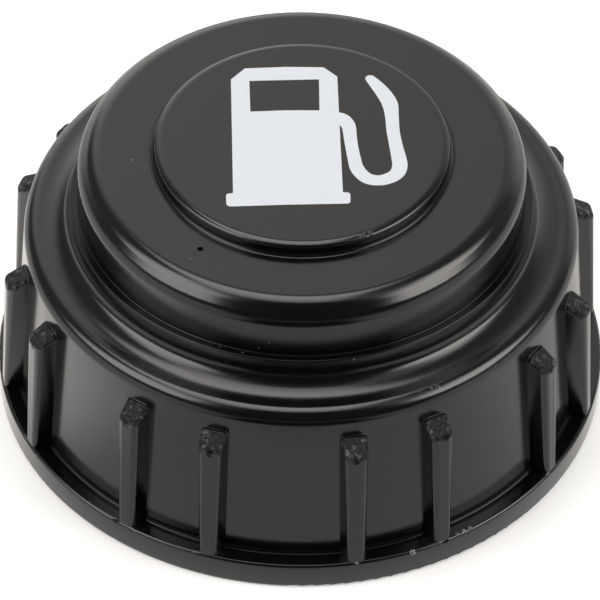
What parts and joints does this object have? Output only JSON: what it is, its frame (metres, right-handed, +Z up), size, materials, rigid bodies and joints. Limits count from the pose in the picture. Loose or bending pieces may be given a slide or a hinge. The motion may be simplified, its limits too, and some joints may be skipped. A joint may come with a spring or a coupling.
{
  "type": "fuel filler cap",
  "caption": "Round black moulded screw-on fuel filler cap with a ribbed grip skirt, rim flange, stepped dome with a raised disc, coarse inner thread, seal and splash baffle.",
  "frame": {"origin": "centre of the open rim, in the plane the cap stands on", "axes": "+Z runs up the cap's axis through the dome, and -Y is the side from which the pump sign on the disc reads upright"},
  "size_m": [0.072, 0.072, 0.0367],
  "materials": {
    "cap_plastic": "satin moulded plastic, black",
    "gasket_rubber": "matt rubber",
    "baffle_plastic": "moulded plastic, dark grey",
    "filter_foam": "open-cell foam"
  },
  "bodies": {
    "root": {"cap_shell": "cap_plastic", "sealing_gasket": "gasket_rubber", "vent_baffle": "baffle_plastic", "filter_pad": "filter_foam"}
  },
  "joints": []
}
